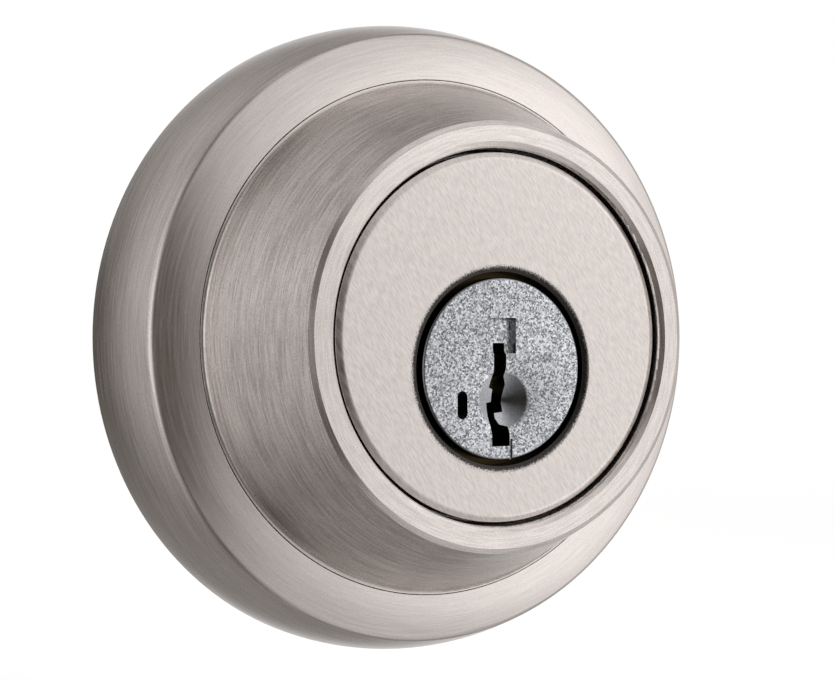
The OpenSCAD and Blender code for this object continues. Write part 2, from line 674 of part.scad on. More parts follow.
rose();
collar();
face_plate();
chassis();
door_gasket();
adapter_ring();
wave_washer();
cylinder_body();
cylinder_retainer();
retainer_screws();
plug();
pin_cap();
pin(1);  // pin_1
pin(2);  // pin_2
pin(3);  // pin_3
pin(4);  // pin_4
pin(5);  // pin_5
pin_spring(1);  // pin_spring_1
pin_spring(2);  // pin_spring_2
pin_spring(3);  // pin_spring_3
pin_spring(4);  // pin_spring_4
pin_spring(5);  // pin_spring_5
rack(1);  // rack_1
rack(2);  // rack_2
rack(3);  // rack_3
rack(4);  // rack_4
rack(5);  // rack_5
carrier();
carrier_spring();
spring_catch();
locking_bar();
bar_springs();
drill_balls();
plug_clip();
torque_blade();
blade_cap();
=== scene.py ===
# %% [markdown]
# # The outside half of a deadbolt lock
# A deadbolt lock shows a round rose on the door, a collar that tapers out of it, and a plate
# with the key plug. Behind the door stand two screw posts and a flat blade that turns the bolt.
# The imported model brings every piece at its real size, in metres: the lock's axis is Y, the
# front looks along -Y and +Z is up. This lesson gives each piece the finish of its metal,
# models some pieces more finely than the frame does, and sets up the studio.

# %% Load the frame
import bpy
from math import cos, hypot, pi, radians, sin
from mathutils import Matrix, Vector


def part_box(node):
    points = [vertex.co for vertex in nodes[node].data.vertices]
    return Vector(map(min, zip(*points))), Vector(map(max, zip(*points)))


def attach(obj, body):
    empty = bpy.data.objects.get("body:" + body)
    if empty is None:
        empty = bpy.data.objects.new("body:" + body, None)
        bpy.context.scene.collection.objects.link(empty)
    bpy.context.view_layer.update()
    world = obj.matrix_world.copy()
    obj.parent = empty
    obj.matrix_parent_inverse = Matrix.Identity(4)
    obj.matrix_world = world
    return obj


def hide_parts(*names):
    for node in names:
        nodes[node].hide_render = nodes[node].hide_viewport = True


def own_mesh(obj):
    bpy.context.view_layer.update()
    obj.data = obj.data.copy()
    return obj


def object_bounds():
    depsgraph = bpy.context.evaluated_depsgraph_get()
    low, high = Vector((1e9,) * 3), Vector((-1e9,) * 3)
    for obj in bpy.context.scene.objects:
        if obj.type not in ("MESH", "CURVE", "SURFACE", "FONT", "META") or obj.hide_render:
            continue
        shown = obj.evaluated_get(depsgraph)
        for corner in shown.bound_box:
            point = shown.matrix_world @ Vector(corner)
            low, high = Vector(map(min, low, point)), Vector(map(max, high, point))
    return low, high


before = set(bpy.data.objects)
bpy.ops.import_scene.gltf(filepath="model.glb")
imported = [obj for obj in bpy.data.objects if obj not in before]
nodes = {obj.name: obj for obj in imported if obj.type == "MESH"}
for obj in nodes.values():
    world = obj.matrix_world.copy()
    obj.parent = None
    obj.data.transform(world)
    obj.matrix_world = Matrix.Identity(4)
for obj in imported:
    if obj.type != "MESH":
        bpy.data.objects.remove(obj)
cad_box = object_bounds()
scene = bpy.context.scene
MM = 0.001

# %% [markdown]
# ## The camera
# The lock is seen from a little to its left with a long lens, level with the middle of the
# rose. A long lens keeps the circles close to true ellipses. The camera looks along one
# direction and is slid sideways, so that the rose sits left of centre with no tilt.

# %% Camera
view_turn = radians(28.54)
view_distance = 195.5 * MM
slide_right, slide_down = 3.16 * MM, 0.27 * MM
sensor_in_mm, lens_in_mm, nearest = 36, 77.7, 10 * MM
forward = Vector((sin(view_turn), cos(view_turn), 0))
right = Vector((cos(view_turn), -sin(view_turn), 0))
aim = right * slide_right - Vector((0, 0, slide_down))

camera_data = bpy.data.cameras.new("camera")
camera_data.sensor_width = sensor_in_mm
camera_data.lens = lens_in_mm
camera_data.clip_start = nearest
camera = bpy.data.objects.new("camera", camera_data)
scene.collection.objects.link(camera)
camera.location = aim - forward * view_distance
camera.rotation_euler = forward.to_track_quat("-Z", "Y").to_euler()
scene.camera = camera
scene.view_settings.view_transform = "Standard"
print("the camera stands", round(view_distance / MM), "mm from the rose")

# %% [markdown]
# ## Small helpers for shader trees
# A node tree is a graph, and most of the code that builds one is wiring. A few helpers keep
# the later cells short: they add a node, feed a socket with a number or a link, do arithmetic
# on numbers and vectors, and map one range of values to another.

# %% Tree helpers
def feed(tree, socket, value):
    """Puts a number, a tuple or another node's output into a socket."""
    if isinstance(value, bpy.types.NodeSocket):
        tree.links.new(value, socket)
    elif value is not None:
        socket.default_value = value


def add(tree, kind, *values, **settings):
    """Adds a node, sets its settings and feeds its first inputs."""
    node = tree.nodes.new("ShaderNode" + kind)
    for name, value in settings.items():
        setattr(node, name, value)
    for socket, value in zip(node.inputs, values):
        feed(tree, socket, value)
    return node


def maths(tree, operation, a, b):
    return add(tree, "Math", a, b, operation=operation).outputs[0]


def vector_maths(tree, operation, a, b=None):
    node = add(tree, "VectorMath", a, b, operation=operation)
    return node.outputs["Value" if operation in ("LENGTH", "DOT_PRODUCT") else "Vector"]


def spread(tree, value, low, high, from_low=0.0, from_high=1.0, kind="LINEAR"):
    """Maps a value from one range to another."""
    node = add(tree, "MapRange", value, interpolation_type=kind)
    for name, number in (("From Min", from_low), ("From Max", from_high),
                         ("To Min", low), ("To Max", high)):
        node.inputs[name].default_value = number
    return node.outputs["Result"]


# %% [markdown]
# ## The studio
# Metal has no colour of its own to show: it shows the room. Brushed nickel looks like nickel
# only when it has something bright and something dark to reflect. The room here is dim and
# a little warm, with soft round patches of white light in it. The key light stands to the
# front right, with a wide one above it, another below it and two dimmer ones beyond it at the
# side. A narrow strip and a broad wall stand at the left, and three dim ones hang above and
# behind the lock. Between the key and the strip the room stays dark, and that gap is what
# draws the dark band down every turned face.
#
# A patch is a smooth step of the dot product between the ray and the patch's direction, so it
# costs nothing and has no edge. Directions are written as a bearing from the lock's front
# towards its right, and a height.

# %% Light patches in the world
room_light = Vector((0.080, 0.070, 0.058))
patches = {
    # name: bearing, height, angle where it fades out, angle where it is full, level
    "key": (44, 0, 40, 13, 0.6),
    "key_side": (68, 0, 45, 20, 0.25),
    "right_wall": (112, 0, 58, 25, 0.3),
    "upper_front": (30, 42, 50, 15, 0.68),
    "lower_front": (35, -42, 50, 15, 0.5),
    "left_strip": (-60, 0, 30, 10, 0.55),
    "left_wall": (-86, 0, 66, 22, 0.44),
    "upper_left": (-110, 45, 50, 15, 0.18),
    "upper_back": (165, 60, 65, 20, 0.25),
    "lower_back": (165, -60, 65, 20, 0.2),
}
backdrop_fade, backdrop_full = 40, 15

world = bpy.data.worlds.new("studio")
scene.world = world
world.use_nodes = True
tree = world.node_tree
tree.nodes.clear()
looking = add(tree, "TexCoord").outputs["Generated"]


def toward(bearing, height):
    """The direction at a bearing from the lock's front and a height, both in degrees."""
    turn, lift = radians(bearing), radians(height)
    return Vector((cos(lift) * sin(turn), -cos(lift) * cos(turn), sin(lift)))


def patch(direction, fade, full, level):
    """A soft round patch of light in one direction."""
    nearness = vector_maths(tree, "DOT_PRODUCT", looking, direction)
    return spread(tree, nearness, 0, level, cos(radians(fade)), cos(radians(full)), "SMOOTHSTEP")


light = 0.0
for bearing, height, fade, full, level in patches.values():
    light = maths(tree, "ADD", patch(toward(bearing, height), fade, full, level), light)
light = vector_maths(tree, "ADD", light, room_light)
backdrop = patch(forward, backdrop_fade, backdrop_full, 1)
rays = add(tree, "LightPath").outputs
mirrored = maths(tree, "MAXIMUM", rays["Is Glossy Ray"], rays["Is Transmission Ray"])
mirrored_white = maths(tree, "MULTIPLY", mirrored, backdrop)
whiteness = maths(tree, "MAXIMUM", rays["Is Camera Ray"], mirrored_white)
room = add(tree, "Background", light)
white = add(tree, "Background", (1, 1, 1, 1))
mixed = add(tree, "MixShader", whiteness, room.outputs[0], white.outputs[0])
add(tree, "OutputWorld", mixed.outputs[0])
print(len(patches), "patches of light in a dim warm room")

# %% [markdown]
# ## Lamps and floor
# The patches are enough for metal, but foam and plastic scatter light instead of mirroring
# it, and would look too dark. Large area lamps light them, and are hidden from gloss so that
# they add no streaks to the metal. The floor is a plain pale sheet a little below the rose:
# it takes the lock's soft shadow, and the camera sees it about as white as the backdrop.

# %% Lamps
lamp_width = 0.4


def lamp(name, place, watts):
    """A round area lamp that looks at the lock and doesn't show in gloss."""
    data = bpy.data.lights.new(name, "AREA")
    data.energy = watts
    data.size = lamp_width
    data.shape = "DISK"
    thing = bpy.data.objects.new(name, data)
    thing.location = place
    thing.rotation_euler = (-Vector(place)).to_track_quat("-Z", "Y").to_euler()
    thing.visible_glossy = False
    thing.visible_camera = False
    scene.collection.objects.link(thing)


lamp("front_lamp", (0.25, -0.45, 0.30), 3.0)
lamp("left_lamp", (-0.50, -0.10, 0.25), 1.5)
lamp("back_lamp", (-0.20, 0.50, 0.30), 3.0)
print("three lamps, each", lamp_width, "m wide")

# %% Floor
floor_drop, floor_width = 14 * MM, 12
floor_z = cad_box[0][2] - floor_drop
shadow_core, shadow_reach, core_whiteness = 0.08, 0.45, 0.6
paper_white = (0.8, 0.8, 0.8, 1)
bpy.ops.object.select_all(action="DESELECT")
bpy.ops.mesh.primitive_plane_add(size=floor_width)
floor = bpy.context.object
floor.name = "floor"
bpy.ops.transform.translate(value=(0, 0, floor_z))
bpy.ops.object.transform_apply(location=True)
floor.visible_glossy = False

paper = bpy.data.materials.new("floor_paper")
paper.use_nodes = True
tree = paper.node_tree
tree.nodes.clear()
matt = add(tree, "BsdfDiffuse", paper_white)
glow = add(tree, "Emission", (1, 1, 1, 1), 1.0)
distance = vector_maths(tree, "LENGTH", add(tree, "TexCoord").outputs["Object"])
whiter = spread(tree, distance, core_whiteness, 1, shadow_core, shadow_reach, "SMOOTHSTEP")
seen = maths(tree, "MULTIPLY", add(tree, "LightPath").outputs["Is Camera Ray"], whiter)
mixed = add(tree, "MixShader", seen, matt.outputs[0], glow.outputs[0])
add(tree, "OutputMaterial", mixed.outputs[0])
floor.data.materials.append(paper)
print("the floor lies", round(-floor_z / MM, 1), "mm below the lock's axis")

# %% [markdown]
# ## Brushed nickel that follows a circle
# The rose and the collar are brushed while they turn, so their scratches run round the axis
# and the highlight is drawn out across them. Two things make that look. The first is
# anisotropic gloss, whose tangent runs round the axis. The second is a noise that changes
# fast across the scratches and slowly along them: the direction from the axis is the slow
# part, and the distance along the profile, taken as radius plus depth, is the fast part.

# %% Coordinates round an axis
def position(tree):
    return add(tree, "TexCoord").outputs["Object"]


def round_coordinates(tree, axis_z):
    """Direction from a Y axis at height axis_z, distance along the profile, and the tangent."""
    place = vector_maths(tree, "ADD", position(tree), (0, 0, -axis_z))
    flat = vector_maths(tree, "MULTIPLY", place, (1, 0, 1))
    outward = vector_maths(tree, "NORMALIZE", flat)
    depth = vector_maths(tree, "DOT_PRODUCT", place, (0, 1, 0))
    along_profile = maths(tree, "ADD", vector_maths(tree, "LENGTH", flat), depth)
    tangent = vector_maths(tree, "CROSS_PRODUCT", outward, (0, 1, 0))
    return outward, along_profile, tangent


def round_scratches(tree, outward, along_profile, per_metre, slowness, detail=3):
    """Noise drawn out round the axis: slowness is how many features fit into one radian."""
    noise = add(tree, "TexNoise", noise_dimensions="4D")
    feed(tree, noise.inputs["Vector"], vector_maths(tree, "MULTIPLY", outward, (slowness,) * 3))
    feed(tree, noise.inputs["W"], maths(tree, "MULTIPLY", along_profile, per_metre))
    noise.inputs["Scale"].default_value = 1
    noise.inputs["Detail"].default_value = detail
    return noise.outputs["Fac"]


def even_noise(tree, per_metre, detail, vector=None):
    """Noise with the same grain every way."""
    noise = add(tree, "TexNoise", vector or position(tree))
    noise.inputs["Scale"].default_value = per_metre
    noise.inputs["Detail"].default_value = detail
    return noise.outputs["Fac"]


def tinted(tree, colour, shade):
    """A colour made lighter or darker by a value around one."""
    scaled = add(tree, "VectorMath", colour, operation="SCALE")
    feed(tree, scaled.inputs["Scale"], shade)
    return scaled.outputs[0]


def bumped(tree, height, depth):
    """A bump of the given depth in metres."""
    bump = add(tree, "Bump")
    feed(tree, bump.inputs["Height"], height)
    bump.inputs["Distance"].default_value = depth
    return bump.outputs[0]


def blended(tree, *shares):
    """The sum of some values, each times its share."""
    total = 0.0
    for value, share in shares:
        total = add(tree, "Math", value, share, total, operation="MULTIPLY_ADD").outputs[0]
    return total


def mixed_value(tree, factor, low, high):
    """A value that goes from low to high as the factor goes from zero to one."""
    mix = add(tree, "Mix", factor)
    feed(tree, mix.inputs["A"], low)
    feed(tree, mix.inputs["B"], high)
    return mix.outputs["Result"]


def facing(tree, way, low, high, at_low=0, at_high=1):
    """Blends from one value to another as the surface turns to face one way."""
    normal = add(tree, "TexCoord").outputs["Normal"]
    turned_to = vector_maths(tree, "DOT_PRODUCT", normal, way)
    return spread(tree, turned_to, at_low, at_high, low, high)


def facing_front(tree, low, high):
    """One where the surface faces the front, and zero where it turns away."""
    return facing(tree, (0, -1, 0), low, high)


def worn_edges(tree, radius):
    """One on sharp edges and zero on flats, from how far a rounded normal leaves the true one."""
    rounded_normal = add(tree, "Bevel", radius, samples=4).outputs[0]
    true_normal = add(tree, "NewGeometry").outputs["Normal"]
    likeness = vector_maths(tree, "DOT_PRODUCT", rounded_normal, true_normal)
    return spread(tree, likeness, 1, 0, 0.86, 0.995)


# %% Material from a finished tree
def finish(name, build, metallic=1.0, roughness=0.3, anisotropic=0.0, turn=0.0):
    """Makes a material: build(tree) returns colour, roughness, normal and tangent to feed in."""
    material = bpy.data.materials.new(name)
    material.use_nodes = True
    tree = material.node_tree
    tree.nodes.clear()
    shader = add(tree, "BsdfPrincipled")
    shader.inputs["Metallic"].default_value = metallic
    shader.inputs["Roughness"].default_value = roughness
    shader.inputs["Anisotropic"].default_value = anisotropic
    shader.inputs["Anisotropic Rotation"].default_value = turn
    for socket, value in build(tree).items():
        feed(tree, shader.inputs[socket], value)
    add(tree, "OutputMaterial", shader.outputs[0])
    return material


nickel = (0.73, 0.675, 0.65)
round_gloss, quarter_turn = 0.7, 0.25
calm_front = 0.5
# where the painted shade on a dark front end fades out, and how dark it is
gap_shade_from, gap_shade_to, gap_shade_level = 0.2 * MM, 1.5 * MM, 0.06


def brushed_round(name, colour, roughness, contrast, axis_z=0.0, per_metre=3000, slowness=4,
                  depth=0.005 * MM, dark_front=None):
    """Metal brushed or turned round a Y axis.

    Its lines have half their contrast where it faces the front, and a painted shade darkens
    it at a front end that lies at dark_front.
    """
    def build(tree):
        outward, along_profile, tangent = round_coordinates(tree, axis_z)
        hair = round_scratches(tree, outward, along_profile, per_metre * 2.5, slowness * 2)
        line = round_scratches(tree, outward, along_profile, per_metre, slowness)
        band = round_scratches(tree, outward, along_profile, per_metre / 6, 1.2, 2)
        speck = even_noise(tree, per_metre * 2.5, 1)
        both = blended(tree, (hair, 0.4), (line, 0.25), (band, 0.1), (speck, 0.25))
        front = facing_front(tree, 0.6, 0.95)
        depth_of_shade = spread(tree, front, contrast, contrast * calm_front)
        lines = maths(tree, "MULTIPLY", spread(tree, both, -1, 1, 0.42, 0.58), depth_of_shade)
        shade = maths(tree, "ADD", lines, 1)
        # painted shade: a front end that lies in a gap is darkened nearly to black
        if dark_front is not None:
            behind = vector_maths(tree, "DOT_PRODUCT", position(tree), (0, 1, 0))
            gap_shade = spread(tree, behind, gap_shade_level, 1,
                             dark_front + gap_shade_from, dark_front + gap_shade_to)
            shade = maths(tree, "MULTIPLY", shade, gap_shade)
        rough = spread(tree, line, roughness - 0.04, roughness + 0.04, 0.3, 0.7)
        return {"Base Color": tinted(tree, colour, shade), "Roughness": rough,
                "Normal": bumped(tree, hair, depth), "Tangent": tangent}
    return finish(name, build, anisotropic=round_gloss, turn=quarter_turn)


rose_finish = brushed_round("rose_nickel", nickel, 0.25, 0.17)
collar_finish = brushed_round("collar_nickel", nickel, 0.25, 0.27)
print("two finishes brushed round the rose's axis")

# %% [markdown]
# ## Straight grain
# The plate is a stamping, and its grain was rolled and brushed in one straight direction that
# runs steeply down across it. Straight grain is the same noise idea with three dot products:
# the place is measured along the grain, across it and through it, and the measure along the
# grain is divided by how many times longer than wide a scratch is.

# %% Straight grain
def grain(tree, along, across, per_metre, length):
    """Noise drawn out along a line, length times longer than wide."""
    measures = []
    through = across.cross(along)
    for way, step in ((along, per_metre / length), (across, per_metre), (through, per_metre)):
        place = vector_maths(tree, "DOT_PRODUCT", position(tree), way)
        measures.append(maths(tree, "MULTIPLY", place, step))
    return even_noise(tree, 1, 2, add(tree, "CombineXYZ", *measures).outputs[0])


rolled_depth, rolled_gloss = 0.003 * MM, 0.4


def rolled(name, colour, roughness, along, across, per_metre, length, contrast, edge_shade=0.0):
    """Metal with straight grain, brighter or darker on its sharp edges by edge_shade."""
    def build(tree):
        fine = grain(tree, along, across, per_metre, length)
        broad = grain(tree, along, across, per_metre / 5, length / 2)
        both = blended(tree, (fine, 0.65), (broad, 0.35))
        shade = spread(tree, both, 1 - contrast, 1 + contrast, 0.38, 0.62)
        if edge_shade:
            edges = spread(tree, worn_edges(tree, 0.15 * MM), 1, 1 + edge_shade)
            shade = maths(tree, "MULTIPLY", shade, edges)
        rough = spread(tree, broad, roughness - 0.05, roughness + 0.05, 0.3, 0.7)
        return {"Base Color": tinted(tree, colour, shade), "Roughness": rough,
                "Normal": bumped(tree, fine, rolled_depth)}
    return finish(name, build, anisotropic=rolled_gloss)


X_WAY, Y_WAY, Z_WAY = Vector((1, 0, 0)), Vector((0, 1, 0)), Vector((0, 0, 1))
print("straight grain is ready")

# %% [markdown]
# ## The face plate
# The plate's grain falls 57 degrees from left to right. Round the plug's hole the bevel and the
# walls carry a painted shade that makes them much darker than the face, and the line where the
# painted shade ends is a little frayed. A mask made of the distance from the plug's axis finds
# the bevel, and the surface's own normal finds the walls.

# %% Face plate
plug_low, plug_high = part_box("plug")
plug_z = (plug_low.z + plug_high.z) / 2
plug_face_r = (plug_high.x - plug_low.x) / 2
plug_gap = 0.55 * MM
plate_bevel = 0.6 * MM
hole_r = plug_face_r + plug_gap
# the painted shade round the plug's hole is full inside the first radius and ends at the second
full_shade_to, no_shade_from = hole_r + plate_bevel * 0.6, hole_r + plate_bevel * 1.3
# how dark the painted shade makes the bevel and the walls
bevel_painted_shade, wall_painted_shade, fray = 0.07, 0.25, 0.12 * MM
grain_fall = radians(57)
down_grain = Vector((cos(grain_fall), 0, -sin(grain_fall)))
across_grain = Vector((sin(grain_fall), 0, cos(grain_fall)))


def from_axis(tree, x, z):
    """Distance from a Y axis."""
    place = vector_maths(tree, "ADD", position(tree), (-x, 0, -z))
    return vector_maths(tree, "LENGTH", vector_maths(tree, "MULTIPLY", place, (1, 0, 1)))


def face_plate(tree):
    """Satin nickel with a steep straight grain, and painted shade round the plug's hole."""
    fine = grain(tree, down_grain, across_grain, 8000, 7)
    broad = grain(tree, down_grain, across_grain, 3000, 6)
    both = blended(tree, (fine, 0.6), (broad, 0.4))
    shade = spread(tree, both, 0.88, 1.12, 0.4, 0.6)
    frayed = spread(tree, even_noise(tree, 7000, 2), -fray, fray, 0.35, 0.65)
    reach = maths(tree, "ADD", from_axis(tree, 0, plug_z), frayed)
    # painted shade on the bevel round the plug's hole and on the walls that turn from the front
    bevel_shade = spread(tree, reach, bevel_painted_shade, 1, full_shade_to, no_shade_from, "SMOOTHSTEP")
    wall_shade = spread(tree, facing_front(tree, 0.3, 0.8), wall_painted_shade, 1)
    shade = maths(tree, "MULTIPLY", shade, maths(tree, "MULTIPLY", bevel_shade, wall_shade))
    rough = spread(tree, broad, 0.26, 0.36, 0.3, 0.7)
    return {"Base Color": tinted(tree, nickel, shade), "Roughness": rough,
            "Normal": bumped(tree, fine, 0.004 * MM)}


plate_finish = finish("plate_nickel", face_plate, anisotropic=0.3)
print("the plug's axis lies", round(-plug_z / MM, 2), "mm below the rose's")

# %% [markdown]
# ## The plug's sparkling face
# The plug is cast zinc that was tumbled with grit, so its face is a mass of tiny facets, each
# a little lighter or darker than the next, and cooler than the nickel round it. Cells of a
# Voronoi texture are such facets: each has one random colour, which gives its brightness, its
# roughness and, as a bump, its height. The scoop and the walls of the openings were cut after
# the tumbling, so they are smooth; a painted shade makes them darker, most of all the walls
# that face left. The plug's own normals find the walls, and the scoop is found by its place
# and its depth.

# %% Plug
fleck_scale = 6500
scoop_x, scoop_z, scoop_r = 0.1 * MM, plug_z - 3.05 * MM, 2.95 * MM
plug_zinc = (0.50, 0.515, 0.545)


def smooth_scoop(tree):
    """One inside the scoop, below the plug's face."""
    reach = from_axis(tree, scoop_x, scoop_z)
    inside = spread(tree, reach, 1, 0, scoop_r - 0.25 * MM, scoop_r + 0.05 * MM)
    depth = vector_maths(tree, "DOT_PRODUCT", position(tree), (0, 1, 0))
    deep = spread(tree, depth, 0, 1, plug_low.y + 0.02 * MM, plug_low.y + 0.12 * MM)
    return maths(tree, "MULTIPLY", inside, deep)


def plug_face(tree):
    """Tumbled zinc: bright and dark facets on the front, smooth metal with painted shade where it
    was cut.
    """
    cells = add(tree, "TexVoronoi", position(tree))
    cells.inputs["Scale"].default_value = fleck_scale
    chance = add(tree, "SeparateColor", cells.outputs["Color"]).outputs
    cloud = even_noise(tree, 2600, 2)
    speck = blended(tree, (chance[0], 0.87), (cloud, 0.13))
    tumbled = maths(tree, "SUBTRACT", 1, smooth_scoop(tree))
    front = maths(tree, "MULTIPLY", facing_front(tree, 0.9, 0.97), tumbled)
    lit = spread(tree, speck, 0.35, 1.65, 0.15, 0.85)
    # painted shade: the cut surfaces are darker than the tumbled face
    cut_painted_shade = spread(tree, even_noise(tree, 5000, 2), 0.62, 0.85, 0.3, 0.7)
    # more painted shade on the walls that face left
    cut_painted_shade = maths(tree, "MULTIPLY", cut_painted_shade, facing(tree, (1, 0, 0), -0.2, 0.0, 0.5, 1))
    shade = mixed_value(tree, front, cut_painted_shade, lit)
    rough = mixed_value(tree, front, 0.22, spread(tree, chance[1], 0.25, 0.55))
    height = mixed_value(tree, front, 0.0, chance[2])
    return {"Base Color": tinted(tree, plug_zinc, shade), "Roughness": rough,
            "Normal": bumped(tree, height, 0.006 * MM)}


plug_finish = finish("plug_zinc", plug_face)
print("the plug's flecks are about", round(1000 / fleck_scale, 2), "mm wide")

# %% [markdown]
# ## Castings
# The chassis and the carrier are die cast zinc. A casting is matt, with a fine orange peel,
# faint grey clouds where the metal flowed in, and bright edges where it has been handled. The
# peel is a bump, the clouds are a broad noise, and the bright edges come from a bevel mask:
# the Bevel node rounds the normal near an edge, and where the rounded normal leaves the true
# one there is an edge.

# %% Castings
def casting(name, colour, roughness, peel_per_metre=2500, edge_light=0.5):
    """Cast zinc with a fine peel, grey clouds and handled edges."""
    def build(tree):
        peel = even_noise(tree, peel_per_metre, 3)
        cloud = even_noise(tree, 160, 4)
        edges = worn_edges(tree, 0.25 * MM)
        both = blended(tree, (peel, 0.35), (cloud, 0.65))
        shade = spread(tree, both, 0.8, 1.15, 0.36, 0.64)
        shade = maths(tree, "MULTIPLY", shade, spread(tree, edges, 1, 1 + edge_light))
        clouded = spread(tree, cloud, roughness - 0.06, roughness + 0.08, 0.3, 0.7)
        rough = maths(tree, "SUBTRACT", clouded, maths(tree, "MULTIPLY", edges, 0.15))
        return {"Base Color": tinted(tree, colour, shade), "Roughness": rough,
                "Normal": bumped(tree, peel, 0.02 * MM)}
    return finish(name, build)


cast_zinc = casting("cast_zinc", (0.40, 0.405, 0.41), 0.46)
carrier_zinc = casting("carrier_zinc", (0.44, 0.445, 0.45), 0.38, 4000, 0.3)
print("two castings")

# %% [markdown]
# ## Brass
# The cylinder is turned from brass bar about the plug's axis, so its lines run round that axis.
# Each pin is turned too, about its own upright axis, but a pin is so small that what shows is
# rings stacked up its height: a noise that hardly changes along X and Y and fast along Z. The
# locking bar is an extrusion with its grain along the lock. The cylinder's front end lies in
# the gap round the plug, and a painted shade makes it nearly black there.

# %% Brass
brass = (0.60, 0.41, 0.17)
cylinder_brass = brushed_round("cylinder_brass", brass, 0.28, 0.1, plug_z, 2200, 1.5, 0.006 * MM,
                               dark_front=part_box("cylinder_body")[0].y)
pin_brass = rolled("pin_brass", (0.64, 0.44, 0.18), 0.24, X_WAY, Z_WAY, 9000, 20, 0.08,
                   edge_shade=0.25)
bar_brass = rolled("bar_brass", brass, 0.3, Y_WAY, X_WAY, 6000, 14, 0.1, edge_shade=0.3)
print("three brasses")

# %% [markdown]
# ## Steels
# Six steels differ in how they were made. Plated sheet is bluish with a faint yellow in its
# clouds. Spring wire is drawn and grey. The racks are pressed from powder, so they are dull
# and grainy with pores. The balls are ground, hardened and dark. The blade is sheared from
# plated strip, with its grain along its length. The screws have a bright clear zinc plate.

# %% Steels
def plated(name, along, across, roughness=0.27, depth=0.003 * MM):
    """Zinc plated steel: rolled grain under a thin bluish plate with yellowish clouds."""
    blue, yellow = (0.46, 0.49, 0.53), (0.56, 0.53, 0.44)

    def build(tree):
        fine = grain(tree, along, across, 5000, 10)
        cloud = even_noise(tree, 220, 3)
        tint = add(tree, "Mix", data_type="RGBA")
        feed(tree, tint.inputs["Factor"], spread(tree, cloud, 0, 0.6, 0.45, 0.7))
        feed(tree, tint.inputs["A"], blue + (1,))
        feed(tree, tint.inputs["B"], yellow + (1,))
        edges = spread(tree, worn_edges(tree, 0.12 * MM), 1, 1.3)
        shade = maths(tree, "MULTIPLY", spread(tree, fine, 0.88, 1.1, 0.36, 0.64), edges)
        rough = spread(tree, cloud, roughness - 0.05, roughness + 0.08, 0.35, 0.65)
        return {"Base Color": tinted(tree, tint.outputs["Result"], shade), "Roughness": rough,
                "Normal": bumped(tree, fine, depth)}
    return finish(name, build, anisotropic=0.3)


def powder(tree):
    """Pressed powder metal: dull grit with pores."""
    grit = even_noise(tree, 9000, 2)
    pores = add(tree, "TexVoronoi", position(tree))
    pores.inputs["Scale"].default_value = 4500
    # painted shade in the pores: they are darker where the bump sinks into them
    pits = spread(tree, pores.outputs["Distance"], 0.45, 1, 0.08, 0.25)
    shade = maths(tree, "MULTIPLY", spread(tree, grit, 0.8, 1.15, 0.35, 0.65), pits)
    return {"Base Color": tinted(tree, (0.30, 0.31, 0.33), shade),
            "Normal": bumped(tree, maths(tree, "MULTIPLY", grit, pits), 0.01 * MM)}


def ground(tree):
    """Ground steel: dark and glossy, with fine scuffs."""
    scuffs = even_noise(tree, 12000, 4)
    shade = spread(tree, scuffs, 0.85, 1.1, 0.35, 0.65)
    return {"Base Color": tinted(tree, (0.27, 0.275, 0.29), shade),
            "Roughness": spread(tree, scuffs, 0.1, 0.24, 0.35, 0.65)}


plate_steel = plated("plate_steel", X_WAY, Z_WAY)
blade_steel = plated("blade_steel", Y_WAY, X_WAY, 0.33, 0.005 * MM)
screw_steel = rolled("screw_steel", (0.55, 0.57, 0.60), 0.2, X_WAY, Z_WAY, 5000, 6, 0.07,
                     edge_shade=0.25)
spring_steel = rolled("spring_steel", (0.38, 0.39, 0.41), 0.26, Z_WAY, X_WAY, 8000, 10, 0.1)
rack_steel = finish("rack_steel", powder, roughness=0.5)
hard_steel = finish("hard_steel", ground, roughness=0.16)
print("six steels")

# %% [markdown]
# ## Foam and plastic
# The gasket against the door is closed cell foam: nearly black, dull, with a skin of small
# round cells. Voronoi distance is round cells already, so it drives both the shade and the
# bump. The adapter ring is moulded in black plastic. Its mould was spark eroded, which leaves
# a fine even texture, with paler stress marks and slightly shiny edges.

# %% Foam and plastic
def foam(tree):
    """Closed cells a third of a millimetre wide, in faint broad clouds."""
    cells = add(tree, "TexVoronoi", position(tree), feature="SMOOTH_F1")
    cells.inputs["Scale"].default_value = 2800
    depth = cells.outputs["Distance"]
    cloud = spread(tree, even_noise(tree, 400, 3), 0.8, 1.25, 0.35, 0.65)
    # painted shade and highlight: the hollows between the cells are darker and the tops lighter,
    # as the bump rises
    shade = maths(tree, "MULTIPLY", spread(tree, depth, 1.5, 0.6, 0.1, 0.7), cloud)
    return {"Base Color": tinted(tree, (0.030, 0.030, 0.032), shade),
            "Normal": bumped(tree, maths(tree, "SUBTRACT", 1, depth), 0.09 * MM)}


def moulded(tree):
    """Black plastic with a spark eroded texture and slightly shiny edges."""
    spark = even_noise(tree, 5200, 2)
    cloud = even_noise(tree, 120, 3)
    edges = worn_edges(tree, 0.2 * MM)
    marks = spread(tree, cloud, 0.85, 1.2, 0.35, 0.65)
    shade = maths(tree, "ADD", marks, maths(tree, "MULTIPLY", edges, 0.8))
    texture = spread(tree, spark, 0.42, 0.55, 0.35, 0.65)
    rough = maths(tree, "SUBTRACT", texture, maths(tree, "MULTIPLY", edges, 0.12))
    return {"Base Color": tinted(tree, (0.022, 0.022, 0.024), shade), "Roughness": rough,
            "Normal": bumped(tree, spark, 0.012 * MM)}


gasket_foam = finish("gasket_foam", foam, metallic=0, roughness=0.85)
adapter_plastic = finish("adapter_plastic", moulded, metallic=0, roughness=0.45)
print("foam and plastic")

# %% [markdown]
# ## Every node gets its finish
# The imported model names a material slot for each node, and the finishes are handed out by
# those names. A node that had no finish would stop the script here.

